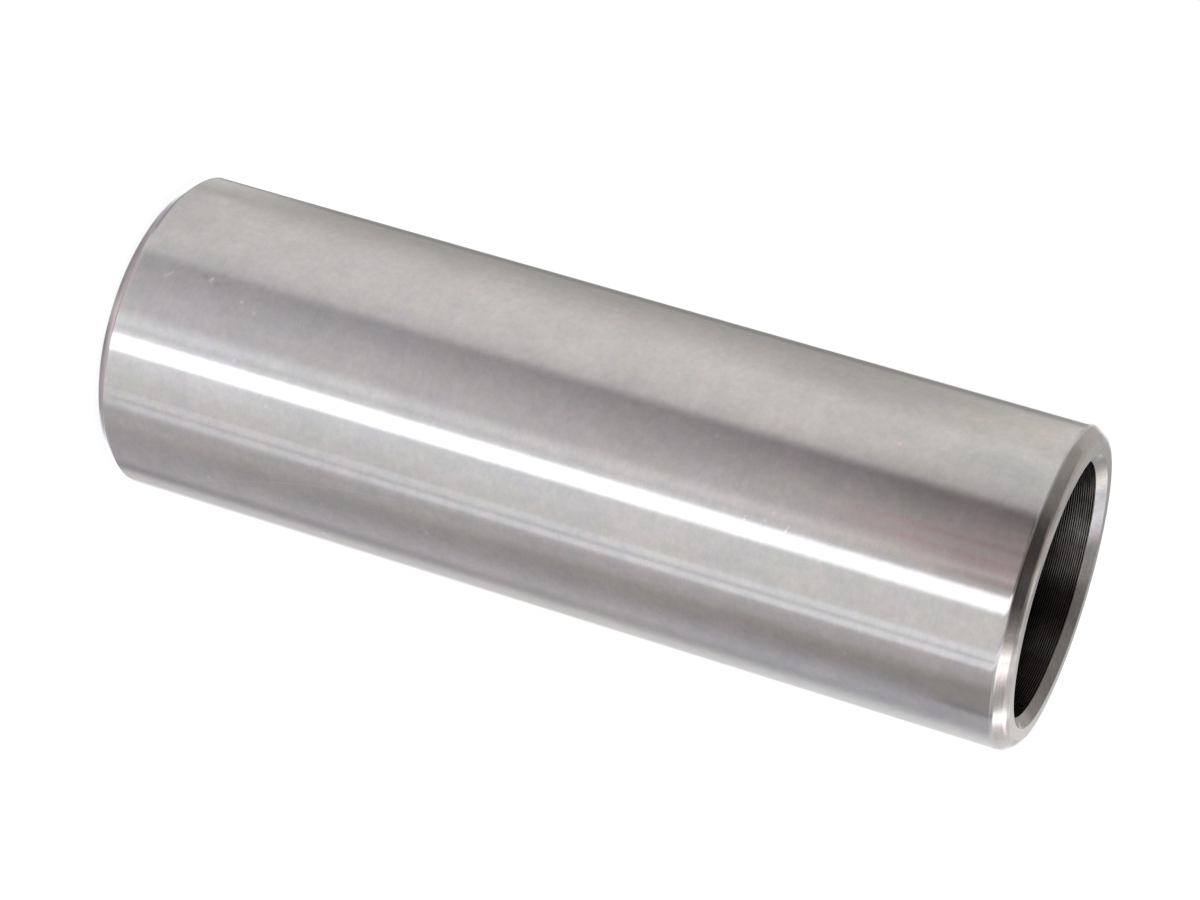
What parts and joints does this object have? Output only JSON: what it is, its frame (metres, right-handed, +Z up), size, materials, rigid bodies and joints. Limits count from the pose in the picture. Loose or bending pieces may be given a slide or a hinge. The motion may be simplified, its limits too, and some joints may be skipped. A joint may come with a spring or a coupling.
{
  "type": "gudgeon pin",
  "caption": "Straight hollow piston pin, ground outside, with a plain through bore and a lead-in on each end; it joins a piston to its connecting rod.",
  "frame": {"origin": "centre of the lower end, on the pin's axis", "axes": "+Z up the pin's axis, from the lower end to the upper one; X and Y are any two directions across it"},
  "size_m": [0.022, 0.022, 0.065],
  "materials": {
    "ground_steel": "ground and polished"
  },
  "bodies": {
    "root": {"gudgeon_pin": "ground_steel"}
  },
  "joints": []
}
